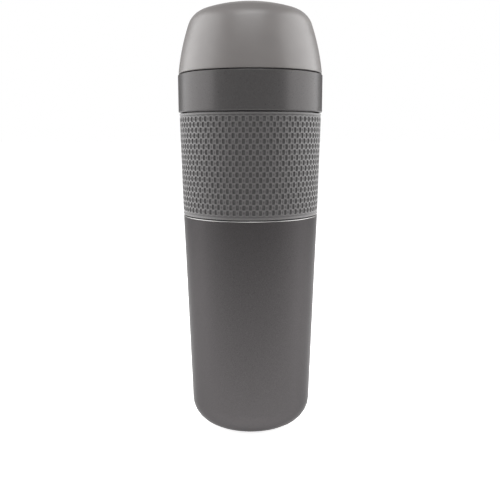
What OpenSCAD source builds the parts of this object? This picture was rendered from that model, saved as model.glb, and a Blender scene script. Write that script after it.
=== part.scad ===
// Insulated travel mug: a vacuum flask with a silicone grip, a screw-in drinking lid with a
// push-button valve, and a domed overcap that screws over the drinking rim. Millimetres, +Z up,
// origin at the middle of the base.

/* [Body] */
// Radius that the side wall would have if it ran straight down to the floor
body_foot_r = 31.4; // [30.8:0.1:31.8]
// Radius of the side wall at the ledge under the grip
body_ledge_r = 35.12; // [34.8:0.02:35.2]
// Height of the ledge that the grip stands over
ledge_z = 113.2; // [105:0.1:118]
// Radius of the rounded edge round the base
base_corner_r = 12.8; // [8:0.1:14]
// Thickness of the outer steel wall
shell_t = 0.6; // [0.5:0.05:0.8]
// Thickness of the inner steel wall
liner_t = 0.5; // [0.4:0.05:0.6]
// Height of the floor of the drink space
floor_z = 7.6; // [7:0.1:9]
// Height of the flask's mouth
mouth_z = 179.5; // [178.5:0.1:179.8]
// Inner radius of the flask's mouth
mouth_r = 30; // [29.9:0.05:30.1]

/* [Grip] */
// Outer radius at the top of the silicone grip
grip_top_r = 36.38; // [36:0.02:36.5]
// Height of the top edge of the grip
grip_top_z = 164.9; // [160:0.1:165]
// Thickness of the silicone grip
grip_t = 1.5; // [1.2:0.1:1.6]

/* [Lid] */
// Outer radius of the steel band round the lid
band_r = 36.85; // [36.6:0.05:37]
// Height of the bottom edge of the band
band_bottom_z = 165.4; // [165.3:0.1:166]
// Height of the top edge of the band
band_top_z = 184.15; // [184.1:0.05:184.2]
// Thickness of the band's sheet
band_t = 0.6; // [0.5:0.05:0.7]
// Outer radius of the drinking rim
rim_r = 29.4; // [29.2:0.05:29.5]
// Height of the top of the drinking rim
rim_z = 198; // [197:0.1:198]

/* [Thread] */
// Height gained in one turn of the lid or the cap
thread_lead = 12; // [11:0.5:14]
// Number of starts of each thread
thread_starts = 2; // [1:1:2]
// Angle that each start runs through
thread_sweep = 200; // [120:10:220]

/* [Valve] */
// Radius of the push button
button_r = 14; // [13:0.5:15]
// Radius of the valve stem
stem_r = 3; // [2.5:0.1:3]
// Radius of the disc that closes the lid from below
plate_r = 24; // [23.5:0.1:25]

/* [Cap] */
// Radius of the domed cap at its bottom edge
cap_r = 36.6; // [36.4:0.05:36.7]
// Radius of the gentle curve of the cap's side
cap_side_arc = 107; // [95:1:115]
// Radius of the shoulder between the side and the crown
cap_shoulder_arc = 11; // [10:0.5:12]
// Thickness of the cap's wall
cap_t = 1.6; // [1.4:0.1:1.7]

/* [Hidden] */
$fn = 96;

seam_gap = 0.5;         // open line between the grip and the ledge
seal_gap = 0.1;         // room round a seal that is drawn uncompressed
skirt_gap = 0.7;        // room between the flask's neck and the lid's skirt
foot_z = 0.3;           // height of the steel foot, which the base pad lifts off the floor
recess_z = 2.2;         // height of the ceiling of the recess under the base
recess_r = 16.4;        // radius of that ceiling
recess_foot_r = 17.4;   // radius of the recess at the foot
neck_r = 33;            // outer radius of the flask's neck
neck_z = 163;           // height where the outer wall starts to turn in to the neck
bead_z = 155.5;         // height of the rolled bead that the lid gasket closes on
bead_depth = 1.9;       // how far the bead stands in from the wall
bead_half_h = 2.1;      // half the height that the bead takes up on the wall
taper_z = 148;          // height where the inner wall ends its taper
taper = 1.4;            // radius that the inner wall gains along the taper
mouth_round = 1.6;      // radius of the rolled edge of the mouth
floor_round = 10;       // radius of the corner between the floor and the inner wall
neck_thread_z = 162;    // height where the threads inside the neck start
plug_r = 28.4;          // outer radius of the lid's plug
plug_in_r = 26.2;       // inner radius of the upper part of the plug
passage_r = 25;         // inner radius of the passage through the plug
seat_r = 20;            // radius of the opening that the valve closes
seat_z = 155.8;         // height of the underside of the valve seat
seat_t = 2.2;           // thickness of the valve seat
plug_thread_z = 165;    // height where the plug's threads start
ledge_guide_z = 171.6;  // height of the ledge that carries the valve guide
guide_top_z = 177.6;    // height of the top of the valve guide's ring
deck_under_z = 180.6;   // height of the underside of the lid's deck
deck_z = 183.5;         // height of the top of the lid's deck
rim_thread_z = 187.4;   // height where the threads round the drinking rim start
hub_r = 10;             // outer radius of the guide's hub
hub_bottom_z = 166;
hub_top_z = 186;
button_seal_z = 182.9;  // height of the ring seal between the hub and the button
spring_floor_z = 174;   // height of the floor that the spring stands on
spring_top_z = 191;     // height of the button's underside
button_top_z = 195.6;
button_skirt_z = 181.6; // height of the lower edge of the button's skirt
stem_top_z = 193;
disc_top_z = 154;       // height of the top of the closing disc
disc_groove_z = 153;    // height of the floor of the groove for the disc's seal
disc_under_z = 151.6;   // height of the underside of the closing disc
nut_h = 1.8;
cap_bottom_z = 184.6;
cap_thread_z = 190.4;   // height where the cap's threads start
cap_thread_r = 31.3;    // inner radius of the cap's threaded sleeve
cap_sleeve_r = 32.5;    // outer radius of the cap's threaded sleeve
cap_disc_z = 201.4;     // height of the underside of the disc inside the cap
cap_disc_t = 1.3;       // thickness of that disc
cap_groove_z = 200.2;   // height of the mouth of the groove for the cap's seal

// A point at an angle on a circle about c.
function on_circle(c, r, a) = c + r * [cos(a), sin(a)];
// Points along an arc, ends included.
function arc(c, r, a0, a1, n = 8) = [for (i = [0:n]) on_circle(c, r, a0 + (a1 - a0) * i / n)];
// The same without the first point, to follow an arc that ended there.
function next_arc(c, r, a0, a1, n) = [for (i = [1:n]) on_circle(c, r, a0 + (a1 - a0) * i / n)];
function unit(v) = v / norm(v);
function left_of(v) = [-v[1], v[0]];
// Direction of the path on the two sides of point i.
function before(p, i) = unit(p[max(i, 1)] - p[max(i, 1) - 1]);
function after(p, i) = unit(p[min(i, len(p) - 2) + 1] - p[min(i, len(p) - 2)]);
// Point i moved d to the left of the path, with mitred corners.
function beside(p, i, d) = let (n0 = left_of(before(p, i)), n1 = left_of(after(p, i)))
    p[i] + d * (n0 + n1) / (1 + n0 * n1);
// Closed outline of a sheet of thickness d that lies to the left of a path and stops at the axis.
function sheet(p, d) = concat(
    p,
    [for (i = [len(p) - 1:-1:0]) let (q = beside(p, i, d)) [max(0, q[0]), q[1]]]
);

function side_r(z) = body_foot_r + (body_ledge_r - body_foot_r) * z / ledge_z;
function grip_r(z) = body_ledge_r + (grip_top_r - body_ledge_r) * (z - ledge_z) / (grip_top_z - ledge_z);
// Inner radius of the flask at a height between the rounded corner of its floor and the mouth.
function liner_r(z) = mouth_r - taper * max(0, taper_z - z) / (taper_z - floor_z - floor_round);

module turned(points) rotate_extrude() polygon(points);
module ring(r_in, r_out, z0, z1) turned([[r_in, z0], [r_out, z0], [r_out, z1], [r_in, z1]]);

// One start of a screw thread, from a root radius to a crest radius, with ends that fade into
// the wall. The section is a trapezoid whose middle starts at height z.
module thread_start(root_r, crest_r, z, root_w = 2.6, crest_w = 1.2) {
    step = 7.5;
    fade = 20;
    n = round(thread_sweep / step);
    section = [for (i = [0:n]) let (
        a = i * step,
        k = max(0.1, min(1, a / fade, (n * step - a) / fade)),
        r = root_r + (crest_r - root_r) * k,
        h = z + thread_lead * a / 360
    ) [
        [root_r, h - root_w / 2, a], [r, h - crest_w / 2, a],
        [r, h + crest_w / 2, a], [root_r, h + root_w / 2, a]
    ]];
    points = [for (s = section) for (q = s) [q[0] * cos(q[2]), q[0] * sin(q[2]), q[1]]];
    sides = [for (i = [0:n - 1]) for (j = [0:3]) let (
        a = 4 * i + j,
        b = 4 * i + (j + 1) % 4
    ) each [[a, a + 4, b], [b, a + 4, b + 4]]];
    first = [[0, 1, 2], [0, 2, 3]];
    last = [[4 * n, 4 * n + 2, 4 * n + 1], [4 * n, 4 * n + 3, 4 * n + 2]];
    faces = concat(first, sides, last);
    flipped = [for (f = faces) [f[2], f[1], f[0]]];
    polyhedron(points, crest_r > root_r ? flipped : faces);
}

module thread(root_r, crest_r, z)
    for (i = [0:thread_starts - 1]) rotate(360 * i / thread_starts) thread_start(root_r, crest_r, z);

// ---- flask ----

side_tilt = atan((body_ledge_r - body_foot_r) / ledge_z);
corner_c = [
    side_r(base_corner_r + foot_z) - base_corner_r / cos(side_tilt),
    base_corner_r + foot_z
];
recess_in_r = body_ledge_r - grip_t;
recess_top_r = grip_r(neck_z) - grip_t;
plate_r_in = 13.5;  // radius where the outer wall's sheet ends over the base plate
ledge_bevel = 0.4;
neck_round = 1.4;   // radius of the bend from the wall to the neck

// Outline of the outer wall, from the recess in the base up to the neck.
shell_path = concat(
    [[plate_r_in, recess_z], [recess_r, recess_z], [recess_foot_r, foot_z]],
    arc(corner_c, base_corner_r, -90, -side_tilt, 16),
    [[side_r(ledge_z - ledge_bevel), ledge_z - ledge_bevel], [body_ledge_r - ledge_bevel, ledge_z],
     [recess_in_r, ledge_z]],
    arc([recess_top_r - neck_round, neck_z], neck_round, 0, 80, 5),
    [[neck_r, neck_z + neck_round + 0.1], [neck_r, mouth_z - liner_t]]
);

module outer_shell() color([0.30, 0.29, 0.29]) turned(sheet(shell_path, shell_t));

// Inner face of the drink space, from the middle of the floor up and over the mouth.
liner_path = concat(
    [[0, floor_z]],
    arc([mouth_r - taper - floor_round, floor_z + floor_round], floor_round, -90, 0, 10),
    [[mouth_r, taper_z], [mouth_r, bead_z - bead_half_h], [mouth_r - bead_depth, bead_z - 0.2],
     [mouth_r - bead_depth, bead_z + 0.2], [mouth_r, bead_z + bead_half_h]],
    arc([mouth_r + mouth_round, mouth_z - mouth_round], mouth_round, 180, 90, 6),
    [[neck_r, mouth_z]]
);

module inner_liner() color([0.72, 0.72, 0.71]) {
    turned(sheet(liner_path, -liner_t));
    thread(mouth_r + 0.25, mouth_r - 1.1, neck_thread_z);
}

module base_plate() color([0.70, 0.70, 0.69])
    ring(1, recess_r - 0.4, recess_z + shell_t, recess_z + 2 * shell_t);

// Bead that closes the hole through which the air was drawn out.
module vacuum_seal() {
    hole_r = 1;
    bead_r = 2.2;
    plate_z0 = recess_z + shell_t;
    top_z = plate_z0 + shell_t + 0.4;
    color([0.45, 0.46, 0.47]) turned([
        [0, plate_z0 - 0.9], [bead_r, plate_z0 - 0.5], [bead_r, plate_z0],
        [hole_r, plate_z0], [hole_r, top_z], [0, top_z]
    ]);
}

// Pellet under the floor of the drink space that keeps the vacuum.
module getter() {
    getter_h = 1.6;
    color([0.35, 0.35, 0.36])
        translate([0, 0, floor_z - liner_t - getter_h]) cylinder(h = getter_h, r = 4.5);
}

// Polished foil wrapped round the inner wall, which turns heat back.
module heat_foil() {
    gap = 0.03;
    foil_t = 0.15;
    z0 = 24;
    z1 = 146;
    r0 = liner_r(z0) + liner_t + gap;
    r1 = liner_r(z1) + liner_t + gap;
    color([0.78, 0.48, 0.32]) turned([[r0, z0], [r0 + foil_t, z0], [r1 + foil_t, z1], [r1, z1]]);
}

module base_pad() color([0.16, 0.16, 0.17]) turned([
    [9, 0], [15.4, 0], [16, 0.6], [16, recess_z], [3, recess_z], [3, 1.4], [0, 1.4], [0, 0.6], [8.4, 0.6]
]);

module grip_sleeve() {
    bottom_z = ledge_z + seam_gap;
    lip = 0.45;
    color([0.27, 0.27, 0.28]) turned([
        [recess_in_r + (recess_top_r - recess_in_r) * seam_gap / (neck_z - ledge_z), bottom_z],
        [grip_r(bottom_z) - lip, bottom_z],
        [grip_r(bottom_z + lip), bottom_z + lip],
        [grip_r(grip_top_z - lip), grip_top_z - lip],
        [grip_r(grip_top_z) - lip, grip_top_z],
        [recess_top_r, grip_top_z],
        [recess_top_r, neck_z]
    ]);
}

// ---- lid ----

gasket_z = 157;       // bottom of the groove round the plug
gasket_h = 3.6;       // height of that groove
gasket_r = 26.5;      // radius of the groove's floor
flange_r = 27.4;      // radius of the flange below the groove
skirt_in_r = neck_r + skirt_gap;

module lid_gasket() color([0.86, 0.85, 0.82]) turned([
    [gasket_r + seal_gap, gasket_z + seal_gap], [27.7, gasket_z + seal_gap],
    [plug_r + 0.3, gasket_z + 1.2], [plug_r - 0.3, gasket_z + 1.7], [plug_r + 0.3, gasket_z + 2.2],
    [plug_r - 0.3, gasket_z + gasket_h - seal_gap], [gasket_r + seal_gap, gasket_z + gasket_h - seal_gap]
]);

// Deck that closes the lid, with the drinking rim above it and a short tube below it that holds
// the valve guide down.
module lid_body() {
    rim_t = 1.8;
    funnel_z = 186.5;  // height where the funnel over the passage meets the rim
    color([0.17, 0.17, 0.18]) {
        turned(concat(
            [[skirt_in_r, deck_under_z], [skirt_in_r, deck_z], [rim_r, deck_z]],
            arc([rim_r - rim_t / 2, rim_z - rim_t / 2], rim_t / 2, 0, 180, 8),
            [[rim_r - rim_t, funnel_z], [passage_r, deck_under_z], [passage_r, guide_top_z],
             [plug_in_r - 0.1, guide_top_z], [plug_in_r - 0.1, deck_under_z]]
        ));
        thread(rim_r - 0.5, rim_r + 1.3, rim_thread_z);
    }
}

// Ring round the deck that carries the metal band.
module lid_skirt() {
    skirt_r = band_r - band_t - 0.05;
    skirt_z = band_bottom_z + band_t + 0.05;
    bevel = 0.6;
    color([0.17, 0.17, 0.18]) turned([
        [skirt_in_r, skirt_z], [skirt_r - bevel, skirt_z], [skirt_r, skirt_z + bevel],
        [skirt_r, deck_z - bevel], [skirt_r - bevel, deck_z], [skirt_in_r, deck_z]
    ]);
}

module lid_plug() color([0.17, 0.17, 0.18]) {
    turned([
        [seat_r, seat_z], [flange_r, seat_z], [flange_r, gasket_z], [gasket_r, gasket_z],
        [gasket_r, gasket_z + gasket_h], [plug_r, gasket_z + gasket_h], [plug_r, deck_under_z],
        [plug_in_r, deck_under_z], [plug_in_r, ledge_guide_z], [passage_r, ledge_guide_z],
        [passage_r, seat_z + seat_t], [seat_r, seat_z + seat_t]
    ]);
    thread(plug_r - 0.5, plug_r + 1.1, plug_thread_z);
}

module lid_band() {
    round_r = 0.9;
    hem = 2;
    color([0.32, 0.31, 0.31]) turned(sheet(concat(
        [[band_r - hem, band_bottom_z]],
        arc([band_r - round_r, band_bottom_z + round_r], round_r, -90, 0, 5),
        arc([band_r - round_r, band_top_z - round_r], round_r, 0, 90, 5),
        [[band_r - hem, band_top_z]]
    ), band_t));
}

// Hub that guides the stem and holds the spring, on four arms inside a ring.
module valve_guide() {
    arm_w = 2.4;
    arm_h = 4.6;
    spring_pocket_r = 7.4;
    groove_h = 1.8;
    color([0.20, 0.20, 0.21]) difference() {
        union() {
            ring(24.2, plug_in_r - 0.05, ledge_guide_z, guide_top_z);
            translate([0, 0, hub_bottom_z]) cylinder(h = hub_top_z - hub_bottom_z, r = hub_r);
            for (a = [0:90:270])
                rotate(a) translate([hub_r - 1, -arm_w / 2, ledge_guide_z]) cube([16, arm_w, arm_h]);
        }
        translate([0, 0, hub_bottom_z - 1]) cylinder(h = hub_top_z, r = stem_r + 0.08);
        translate([0, 0, spring_floor_z]) cylinder(h = hub_top_z, r = spring_pocket_r);
        ring(hub_r - 0.8, hub_r + 1, button_seal_z - groove_h / 2, button_seal_z + groove_h / 2);
    }
}

module button_seal() color([0.86, 0.85, 0.82]) rotate_extrude()
    translate([hub_r - 0.1, button_seal_z]) circle(r = 0.6, $fn = 32);

// ---- valve ----

module push_button() {
    skirt_in_r = hub_r + 0.6;
    skirt_r = skirt_in_r + 2;
    boss_r = 5;
    boss_z = 185;
    edge_r = 2;         // rounding of the button's top edge
    dimple_arc = 40;    // radius of the dished top
    dimple_half = 15;   // half the angle of that arc
    dimple_c = [0, button_top_z + dimple_arc * cos(dimple_half)];
    color([0.44, 0.43, 0.42]) turned(concat(
        [[stem_r, boss_z], [boss_r, boss_z], [boss_r, spring_top_z], [skirt_in_r, spring_top_z],
         [skirt_in_r, button_skirt_z], [skirt_r, button_skirt_z], [skirt_r, spring_top_z],
         [button_r - 0.6, spring_top_z], [button_r, spring_top_z + 0.6]],
        arc([button_r - edge_r, button_top_z - edge_r], edge_r, 0, 84, 6),
        arc(dimple_c, dimple_arc, dimple_half - 90, -90, 6),
        [[0, stem_top_z], [stem_r, stem_top_z]]
    ));
}

nut_z = disc_under_z - nut_h;
seal_in_r = 20.5;   // inner radius of the groove for the disc's seal
seal_out_r = 23.7;

// Stem with a collar over the closing disc and a tail for the nut.
module valve_stem() {
    stem_z = nut_z - 1.2;
    collar_h = 1.4;
    color([0.75, 0.75, 0.74]) union() {
        translate([0, 0, stem_z]) cylinder(h = stem_top_z - stem_z, r = stem_r);
        translate([0, 0, disc_top_z]) cylinder(h = collar_h, r = 4.6);
    }
}

module valve_plate() color([0.20, 0.20, 0.21]) turned([
    [stem_r, disc_under_z], [plate_r - 1, disc_under_z], [plate_r, disc_under_z + 0.8],
    [plate_r, disc_top_z], [seal_out_r, disc_top_z], [seal_out_r, disc_groove_z],
    [seal_in_r, disc_groove_z], [seal_in_r, disc_top_z], [stem_r, disc_top_z]
]);

module valve_seal() {
    shoulder_z = disc_top_z + 0.6;
    lip_z = seat_z - seal_gap;
    color([0.86, 0.85, 0.82]) turned([
        [seal_in_r, disc_groove_z], [seal_out_r, disc_groove_z], [seal_out_r, shoulder_z],
        [22.6, lip_z], [21.6, lip_z], [seal_in_r, shoulder_z]
    ]);
}

module stem_nut() color([0.75, 0.75, 0.74]) difference() {
    translate([0, 0, nut_z]) cylinder(h = nut_h, r = 5.6, $fn = 6);
    translate([0, 0, nut_z - 1]) cylinder(h = nut_h + 2, r = stem_r);
}

// Compression spring that lifts the button and pulls the valve shut.
module button_spring() {
    coil_r = 6.25;
    wire_r = 0.5;
    turns = 5;
    per_turn = 20;
    sides = 6;
    n = turns * per_turn;
    z0 = spring_floor_z + wire_r;
    rise = spring_top_z - spring_floor_z - 2 * wire_r;
    points = [for (i = [0:n]) for (j = [0:sides - 1]) let (
        a = 360 * i / per_turn,
        b = 360 * j / sides,
        r = coil_r + wire_r * cos(b)
    ) [r * cos(a), r * sin(a), z0 + rise * i / n + wire_r * sin(b)]];
    wall = [for (i = [0:n - 1]) for (j = [0:sides - 1]) let (
        a = sides * i + j,
        b = sides * i + (j + 1) % sides
    ) each [[a, a + sides, b], [b, a + sides, b + sides]]];
    ends = [[for (j = [0:sides - 1]) j], [for (j = [sides - 1:-1:0]) sides * n + j]];
    color([0.78, 0.78, 0.78]) polyhedron(points, concat(wall, ends));
}

// ---- cap ----

cap_tilt_foot = 5.9;       // lean of the cap's side at its bottom edge, in degrees
cap_tilt_bevel = 6.2;      // lean of the side where the bevel of that edge ends
cap_tilt_shoulder = 19.1;  // lean of the side where the shoulder starts
cap_tilt_crown = 71.6;     // lean of the shoulder where the crown starts
cap_edge = 0.5;            // width of the bevel round the cap's bottom edge
side_c = [cap_r, cap_bottom_z] - cap_side_arc * [cos(cap_tilt_foot), sin(cap_tilt_foot)];
shoulder_c = on_circle(side_c, cap_side_arc - cap_shoulder_arc, cap_tilt_shoulder);
crown_start = on_circle(shoulder_c, cap_shoulder_arc, cap_tilt_crown);
crown_arc = crown_start[0] / cos(cap_tilt_crown);
crown_c = [0, crown_start[1] - crown_arc * sin(cap_tilt_crown)];
cap_path = concat(
    [[cap_r - cap_edge, cap_bottom_z]],
    arc(side_c, cap_side_arc, cap_tilt_bevel, cap_tilt_shoulder, 10),
    next_arc(shoulder_c, cap_shoulder_arc, cap_tilt_shoulder, cap_tilt_crown, 12),
    next_arc(crown_c, crown_arc, cap_tilt_crown, 90, 10)
);

module cap_shell() color([0.47, 0.45, 0.44]) turned(sheet(cap_path, cap_t));

groove_in_r = 26.3;  // inner radius of the groove for the cap's seal
groove_out_r = 30.3;

// Inner cap: the threaded sleeve, and the disc and groove that press the seal on the drinking rim.
module cap_liner() {
    flange_z0 = cap_bottom_z + 0.6;
    flange_z1 = flange_z0 + 1.4;
    disc_z1 = cap_disc_z + cap_disc_t;
    color([0.40, 0.39, 0.38]) {
        turned([
            [cap_thread_r, flange_z0], [34.6, flange_z0], [34.6, flange_z1],
            [cap_sleeve_r, flange_z1], [cap_sleeve_r, 198], [30.6, disc_z1], [0, disc_z1],
            [0, cap_disc_z], [groove_in_r - 1.3, cap_disc_z], [groove_in_r - 1.3, cap_groove_z],
            [groove_in_r, cap_groove_z], [groove_in_r, cap_disc_z], [groove_out_r, cap_disc_z],
            [groove_out_r, cap_groove_z], [cap_thread_r, cap_groove_z]
        ]);
        thread(cap_thread_r + 0.4, cap_thread_r - 1.2, cap_thread_z);
    }
}

module cap_seal() color([0.86, 0.85, 0.82])
    ring(groove_in_r + seal_gap, groove_out_r - seal_gap, rim_z + 0.15, cap_disc_z - seal_gap);

outer_shell();
inner_liner();
base_plate();
vacuum_seal();
getter();
heat_foil();
base_pad();
grip_sleeve();
lid_gasket();
lid_body();
lid_skirt();
lid_plug();
lid_band();
valve_guide();
button_seal();
button_spring();
push_button();
valve_stem();
valve_plate();
valve_seal();
stem_nut();
cap_seal();
cap_shell();
cap_liner();
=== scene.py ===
"""Insulated travel mug: the looks of every piece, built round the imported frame.

Lengths in the outlines are in millimetres, as (radius, height), and become metres when a mesh is made.
"""

import math

import bmesh
import bpy
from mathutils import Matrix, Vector


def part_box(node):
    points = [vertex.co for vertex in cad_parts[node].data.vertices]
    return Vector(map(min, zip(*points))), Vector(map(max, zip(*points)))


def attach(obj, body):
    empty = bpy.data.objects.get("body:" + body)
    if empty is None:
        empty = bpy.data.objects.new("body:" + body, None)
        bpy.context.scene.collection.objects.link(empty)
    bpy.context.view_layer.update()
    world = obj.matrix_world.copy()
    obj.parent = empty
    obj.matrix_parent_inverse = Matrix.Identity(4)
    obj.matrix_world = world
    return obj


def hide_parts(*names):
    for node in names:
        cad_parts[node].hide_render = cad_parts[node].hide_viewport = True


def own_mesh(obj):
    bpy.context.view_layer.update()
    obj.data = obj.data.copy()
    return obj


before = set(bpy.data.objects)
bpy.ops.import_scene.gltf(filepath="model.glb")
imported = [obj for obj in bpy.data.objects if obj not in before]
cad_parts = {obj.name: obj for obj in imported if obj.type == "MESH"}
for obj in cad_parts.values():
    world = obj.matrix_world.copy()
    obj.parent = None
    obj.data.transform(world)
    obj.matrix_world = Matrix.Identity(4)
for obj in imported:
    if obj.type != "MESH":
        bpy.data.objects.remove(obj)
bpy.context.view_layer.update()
MM = 0.001
AROUND = 192  # segments round a turned piece
AROUND_LARGE = 256  # segments round the large outer faces
FILLET_STEP = 13  # largest turn between two points of a fillet, in degrees
ON_WALL = 0.01  # a point this near to a wall's radius lies on that wall


# ---- where the frame puts things, in millimetres ----


def node_box(node):
    """Outer radius, lowest height and highest height of a round CAD node."""
    low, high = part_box(node)
    return high.x / MM, low.z / MM, high.z / MM


FOOT_Z = node_box("outer_shell")[1]
NECK_R, LINER_Z0, MOUTH_Z = node_box("inner_liner")
PAD_R, PAD_Z0, RECESS_Z = node_box("base_pad")
GRIP_R, GRIP_Z0, GRIP_Z1 = node_box("grip_sleeve")
SEAT_Z, DECK_Z0 = node_box("lid_plug")[1:]
SKIRT_IN_R, GUIDE_Z1, RIM_Z = node_box("lid_body")
SKIRT_R, SKIRT_Z0, DECK_Z1 = node_box("lid_skirt")
BAND_R, BAND_Z0, BAND_Z1 = node_box("lid_band")
GUIDE_R, HUB_Z0, HUB_Z1 = node_box("valve_guide")
BUTTON_R, BUTTON_Z0 = node_box("push_button")[:2]
COLLAR_R, STEM_Z0, STEM_Z1 = node_box("valve_stem")
PLATE_R, PLATE_Z0, PLATE_Z1 = node_box("valve_plate")
CAP_R, CAP_Z0 = node_box("cap_shell")[:2]
FLANGE_R, FLANGE_Z0, DISC_Z1 = node_box("cap_liner")
LEDGE_Z = GRIP_Z0 - 0.5  # an open line lies between the grip and the ledge
LEAD = 12.0  # height that a thread gains in one turn
SEAL_GAP = 0.1  # room round a seal, which is drawn uncompressed


# ---- outlines ----


def spun(x, y, a):
    """The vector (x, y) turned by an angle in radians."""
    return Vector((x * math.cos(a) - y * math.sin(a), x * math.sin(a) + y * math.cos(a)))


def arc(centre, radius, start, end, steps):
    """Points on a circle between two angles in degrees, ends included."""
    points = []
    for i in range(steps + 1):
        a = math.radians(start + (end - start) * i / steps)
        points.append((centre[0] + radius * math.cos(a), centre[1] + radius * math.sin(a)))
    return points


def corner_points(here, before, after, fillet, share):
    """The points that round one corner. before and after are the vectors from it to its neighbours.

    The fillet takes up no more than share of either side.
    """
    turn = math.pi - before.angle(after)
    if fillet <= 0 or turn < 0.02:  # a sharp corner, or hardly a corner
        return [here]
    reach = min(fillet * math.tan(turn / 2), share * before.length, share * after.length)
    radius = reach / math.tan(turn / 2)
    inward = (before.normalized() + after.normalized()).normalized()
    centre = here + inward * (radius / math.cos(turn / 2))
    first = here + before.normalized() * reach - centre
    last = here + after.normalized() * reach - centre
    steps = max(2, math.ceil(math.degrees(turn) / FILLET_STEP))
    swing = first.angle_signed(last)
    return [centre + spun(first.x, first.y, -swing * k / steps) for k in range(steps + 1)]


def rounded(corners, closed=True, hold=0.22, share=0.48):
    """The outline through corners (r, z) or (r, z, fillet), with each fillet as an arc.

    A long enough straight stretch gets a point near each end, hold away from it, which keeps it flat when
    it is shaded smooth. A radius below zero becomes zero, so nothing crosses the axis.
    """
    corners = [Vector((c[0], c[1], c[2] if len(c) > 2 else 0.0)) for c in corners]
    count = len(corners)
    groups = []
    for i, corner in enumerate(corners):
        here = corner.xy
        if not closed and i in (0, count - 1):
            groups.append([here])
            continue
        before = corners[i - 1].xy - here
        after = corners[(i + 1) % count].xy - here
        groups.append(corner_points(here, before, after, corner.z, share))
    flat = []
    for i, group in enumerate(groups):
        flat.extend(group)
        if not closed and i == count - 1:
            break
        start = group[-1]
        end = groups[(i + 1) % count][0]
        if (end - start).length > 4 * hold:
            way = (end - start).normalized()
            flat.extend((start + way * hold, end - way * hold))
    return [(max(p.x, 0.0), p.y) for p in flat]


def sheet(path, thickness):
    """Closed outline of a sheet of that thickness on the left of an open path."""
    points = [Vector(p) for p in path]
    far = []
    for i, p in enumerate(points):
        a = (points[max(i, 1)] - points[max(i, 1) - 1]).normalized()
        b = (points[min(i, len(points) - 2) + 1] - points[min(i, len(points) - 2)]).normalized()
        na, nb = Vector((-a.y, a.x)), Vector((-b.y, b.x))
        far.append(p + thickness * (na + nb) / (1 + na.dot(nb)))
    return [tuple(p) for p in points] + [(max(p.x, 0.0), p.y) for p in reversed(far)]


def dense(outline, r, z0, count, step=0.3, spare=0.1):
    """The outline with extra points along its wall at radius r: so many of them, from height z0 up.

    The points lie a step apart, and those nearer than spare to the wall's own ends are left out.
    """
    result = []
    for i, p in enumerate(outline):
        q = outline[(i + 1) % len(outline)]
        result.append(p)
        if abs(p[0] - r) > ON_WALL or abs(q[0] - r) > ON_WALL:
            continue
        low, high = sorted((p[1], q[1]))
        cuts = [z0 + k * step for k in range(count)]
        cuts = [z for z in cuts if low + spare < z < high - spare]
        result.extend((r, z) for z in (cuts if q[1] > p[1] else reversed(cuts)))
    return result


# ---- meshes ----


def mesh_piece(name, points, faces, material, painted_shades=None):
    """A smooth-shaded mesh. Painted-shade numbers, if given, are kept as a number on each of its points."""
    mesh = bpy.data.meshes.new(name)
    mesh.from_pydata([(x * MM, y * MM, z * MM) for x, y, z in points], [], faces)
    editable = bmesh.new()
    editable.from_mesh(mesh)
    bmesh.ops.recalc_face_normals(editable, faces=editable.faces)
    editable.to_mesh(mesh)
    editable.free()
    mesh.shade_smooth()
    if painted_shades:
        mesh.attributes.new("painted_shade", "FLOAT", "POINT").data.foreach_set("value", painted_shades)
    piece = bpy.data.objects.new(name, mesh)
    bpy.context.scene.collection.objects.link(piece)
    mesh.materials.append(material)
    return piece


def turned(name, outline, material, around=AROUND, warp=None):
    """A closed outline turned about the axis. warp(r, z, angle) may move a point's radius."""
    points, rings = [], []
    for r, z in outline:
        if r < 1e-6:
            rings.append([len(points)])
            points.append((0.0, 0.0, z))
            continue
        rings.append(list(range(len(points), len(points) + around)))
        for k in range(around):
            a = 2 * math.pi * k / around
            at = warp(r, z, a) if warp else r
            points.append((at * math.cos(a), at * math.sin(a), z))
    faces = []
    for one, two in zip(rings, rings[1:] + rings[:1]):
        if len(one) == 1 and len(two) == 1:
            continue
        for k in range(around):
            n = (k + 1) % around
            if len(one) == 1:
                faces.append((one[0], two[n], two[k]))
            elif len(two) == 1:
                faces.append((one[k], one[n], two[0]))
            else:
                faces.append((one[k], one[n], two[n], two[k]))
    return mesh_piece(name, points, faces, material)


def lathe(name, outline, material, body, node, around=AROUND, warp=None):
    """A turned piece that rides on a body and stands for a CAD node."""
    piece = turned(name, outline, material, around, warp)
    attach(piece, body)
    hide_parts(node)
    return piece


def smoothstep(x):
    """Eases from 0 at or below 0 to 1 at or above 1."""
    x = min(max(x, 0.0), 1.0)
    return x * x * (3 - 2 * x)


def thread_warp(wall_r, height, z, starts=2, sweep=200.0, fade=20.0, root_w=2.6, crest_w=1.2, soft=0.1):
    """A warp that raises screw ridges on the wall of radius wall_r. The first one starts at height z.

    height is negative for ridges that point inwards. Each start runs through sweep degrees, and rises
    and falls over fade degrees. soft is how far each flank reaches into the crest.
    """
    flank = (root_w - crest_w) / 2 + soft

    def warp(r, at_z, a):
        if abs(r - wall_r) > ON_WALL:
            return r
        rise = 0.0
        for start in range(starts):
            along = (math.degrees(a) - 360 * start / starts) % 360
            if along > sweep:
                continue
            off = abs(at_z - (z + LEAD * along / 360))
            side = 1 - smoothstep((off - crest_w / 2 + soft) / flank)
            ends = smoothstep(along / fade) * smoothstep((sweep - along) / fade)
            rise = max(rise, side * ends)
        return r + height * rise

    return warp


# ---- materials ----


def new_material(name, **values):
    """A Principled material with its constant values on the shader's own sockets."""
    material = bpy.data.materials.new(name)
    material.use_nodes = True
    shader = material.node_tree.nodes["Principled BSDF"]
    for socket, value in values.items():
        shader.inputs[socket.replace("_", " ")].default_value = value
    return material, shader


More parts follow.
